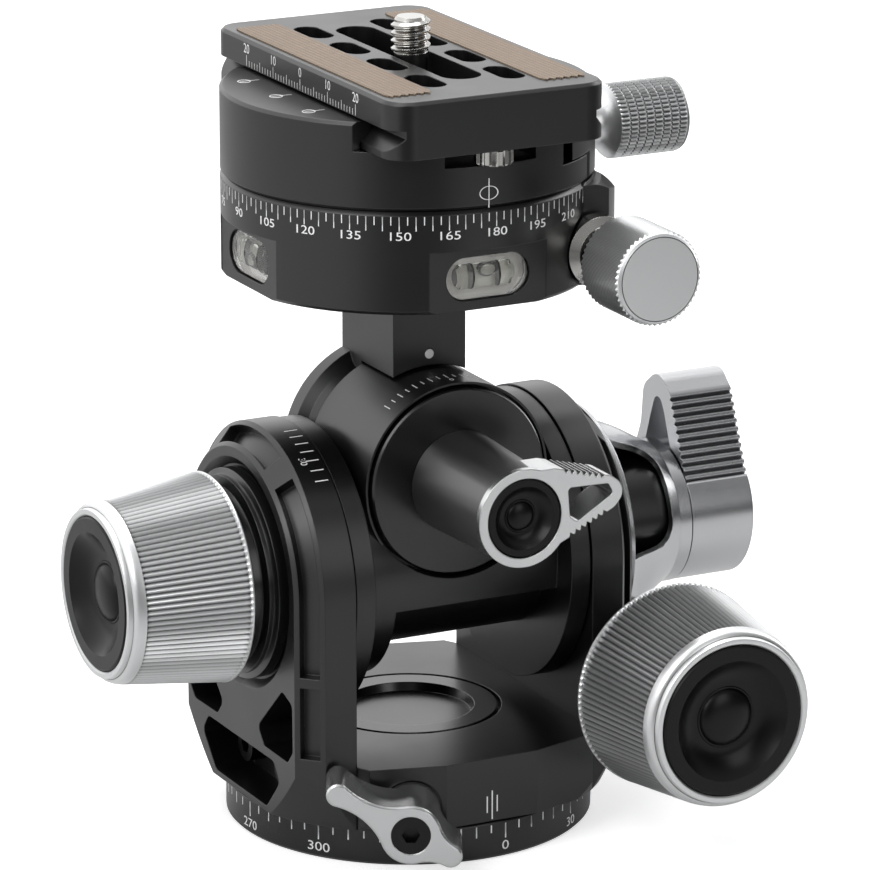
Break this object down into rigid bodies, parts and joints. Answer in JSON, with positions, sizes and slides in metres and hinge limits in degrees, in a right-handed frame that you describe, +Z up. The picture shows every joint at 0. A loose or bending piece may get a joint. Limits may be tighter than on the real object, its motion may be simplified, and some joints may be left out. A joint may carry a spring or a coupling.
{
  "type": "geared tripod head",
  "caption": "Geared tripod head: yoke on a panning base, tilting drum with worm knobs, rolling post, and a geared panorama clamp with a sliding camera plate.",
  "frame": {"origin": "centre of the base's underside, on the pan axis", "axes": "+Z up along the pan axis, +X along the tilt axis towards the paddle lever, -Y towards the front lever"},
  "size_m": [0.1143, 0.0863, 0.1332],
  "materials": {
    "black_metal": "black anodised, fine satin",
    "silver_metal": "clear anodised, satin",
    "steel": "turned stainless steel",
    "black_steel": "black oxide",
    "bronze": "machined bronze",
    "slide_plastic": "smooth",
    "black_cap": "moulded, satin",
    "vial": "clear acrylic level with liquid",
    "pad": "fine-gridded rubber"
  },
  "bodies": {
    "base": {"base_ring": "black_metal", "pan_spindle": "steel", "pan_washer": "slide_plastic", "pan_nut": "steel"},
    "yoke": {"yoke_base": "black_metal", "pan_cap": "black_metal", "pan_lock_shoe": "bronze", "left_arm": "black_metal", "right_arm": "black_metal", "arm_screws": "black_steel", "left_bush": "bronze", "right_bush": "bronze", "tilt_worm_bushes": "bronze", "side_cover": "silver_metal"},
    "pan_lock_lever": {"pan_lock_lever": "silver_metal", "pan_lever_screw": "black_steel"},
    "drum": {"drum_body": "black_metal", "left_axle": "black_metal", "right_axle": "steel", "axle_collar": "black_metal", "roll_worm_bush": "bronze", "tilt_worm_wheel": "bronze", "lock_sleeve": "black_metal", "roll_bush": "bronze", "front_plate": "black_metal"},
    "tilt_knob": {"tilt_knob": "silver_metal", "tilt_knob_cap": "black_cap", "tilt_worm": "steel"},
    "roll_knob": {"roll_knob": "silver_metal", "roll_knob_cap": "black_cap", "roll_worm": "steel"},
    "tilt_lever": {"tilt_lever": "silver_metal", "tilt_lever_cap": "black_cap", "tilt_clamp_bolt": "steel"},
    "roll_lever": {"roll_lever": "silver_metal", "roll_lever_tube": "black_metal", "roll_lever_cap": "black_cap", "roll_clamp_bolt": "steel"},
    "post": {"top_post": "black_metal", "roll_shaft": "steel", "back_cap": "black_metal", "roll_worm_wheel": "bronze", "pan_base": "black_metal", "level_vials": "vial", "pan_bearing": "steel", "post_screws": "black_steel", "pan_worm_bush": "bronze"},
    "pan_knob": {"pan_knob": "silver_metal", "pan_worm": "steel", "pan_worm_collar": "steel"},
    "clamp": {"clamp_body": "black_metal", "pan_worm_wheel": "bronze"},
    "moving_jaw": {"moving_jaw": "black_metal", "jaw_pins": "steel"},
    "clamp_knob": {"clamp_knob": "silver_metal", "clamp_screw": "steel"},
    "plate": {"camera_plate": "black_metal", "plate_pads": "pad", "stop_screws": "steel"},
    "camera_screw": {"camera_screw": "steel"}
  },
  "joints": [
    {"name": "pan", "type": "hinge", "parent": "base", "child": "yoke", "pos_m": [0, 0, 0.0065], "axis": [0, 0, 1], "continuous": true},
    {"name": "pan_lock_turn", "type": "hinge", "parent": "yoke", "child": "pan_lock_lever", "pos_m": [-0.01359, -0.02786, 0.0099], "axis": [-0.4384, -0.8988, 0], "range_deg": [0, 50]},
    {"name": "tilt", "type": "hinge", "parent": "yoke", "child": "drum", "pos_m": [0, 0, 0.0443], "axis": [1, 0, 0], "range_deg": [-40, 30]},
    {"name": "tilt_knob_turn", "type": "hinge", "parent": "yoke", "child": "tilt_knob", "pos_m": [0.0313, 0, 0.0256], "axis": [0, 1, 0], "range_deg": [-1380, 1840]},
    {"name": "tilt_lever_turn", "type": "hinge", "parent": "yoke", "child": "tilt_lever", "pos_m": [0, 0, 0.0443], "axis": [1, 0, 0], "range_deg": [0, 60]},
    {"name": "roll", "type": "hinge", "parent": "drum", "child": "post", "pos_m": [0, 0, 0.0604], "axis": [0, 1, 0], "range_deg": [-30, 30]},
    {"name": "roll_knob_turn", "type": "hinge", "parent": "drum", "child": "roll_knob", "pos_m": [0, 0, 0.0443], "axis": [1, 0, 0], "range_deg": [-1200, 1200]},
    {"name": "roll_lever_turn", "type": "hinge", "parent": "drum", "child": "roll_lever", "pos_m": [0, 0, 0.0604], "axis": [0, -1, 0], "range_deg": [0, 75]},
    {"name": "top_pan", "type": "hinge", "parent": "post", "child": "clamp", "pos_m": [0, 0, 0.1082], "axis": [0, 0, 1], "continuous": true},
    {"name": "pan_knob_turn", "type": "hinge", "parent": "post", "child": "pan_knob", "pos_m": [0.0215, 0, 0.0975], "axis": [0, 1, 0], "continuous": true},
    {"name": "jaw_slide", "type": "slide", "parent": "clamp", "child": "moving_jaw", "axis": [1, 0, 0], "range_m": [0, 0.0024]},
    {"name": "clamp_knob_turn", "type": "hinge", "parent": "moving_jaw", "child": "clamp_knob", "pos_m": [0.04, 0, 0.112], "axis": [1, 0, 0], "range_deg": [0, 1080]},
    {"name": "plate_slide", "type": "slide", "parent": "clamp", "child": "plate", "axis": [0, 1, 0], "range_m": [-0.0048, 0.0048]},
    {"name": "camera_screw_turn", "type": "hinge", "parent": "plate", "child": "camera_screw", "pos_m": [0, -0.0012, 0.1275], "axis": [0, 0, 1], "continuous": true}
  ],
  "couplings": [
    {"joint": "tilt_knob_turn", "follows": "tilt", "ratio": -46},
    {"joint": "roll_knob_turn", "follows": "roll", "ratio": 40},
    {"joint": "pan_knob_turn", "follows": "top_pan", "ratio": -60},
    {"joint": "clamp_knob_turn", "follows": "jaw_slide", "rad_per_m": 7854}
  ]
}
